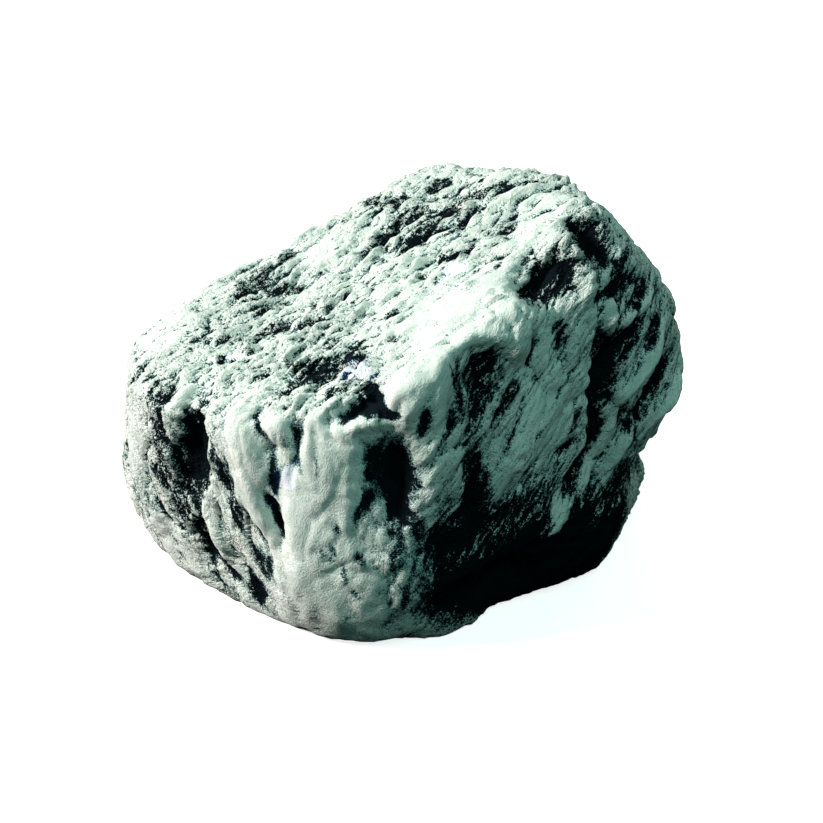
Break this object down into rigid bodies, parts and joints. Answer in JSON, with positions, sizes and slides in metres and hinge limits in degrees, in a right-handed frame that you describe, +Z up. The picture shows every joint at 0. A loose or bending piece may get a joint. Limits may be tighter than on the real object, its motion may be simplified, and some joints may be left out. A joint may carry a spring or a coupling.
{
  "type": "howlite stone",
  "caption": "Rough, free-standing howlite stone: a pale, foliated block with a sloping top, worn edges and deep pits, resting on a flat patch under it.",
  "frame": {"origin": "middle of the footprint, at the level of the flat patch that the stone rests on", "axes": "+X along the stone's length towards its taller end, +Y towards its back, +Z up"},
  "size_m": [0.0714, 0.0509, 0.0486],
  "materials": {
    "howlite": "rough, chalky to faintly waxy, with dark mineral in the pits"
  },
  "bodies": {
    "root": {"howlite_stone": "howlite"}
  },
  "joints": []
}
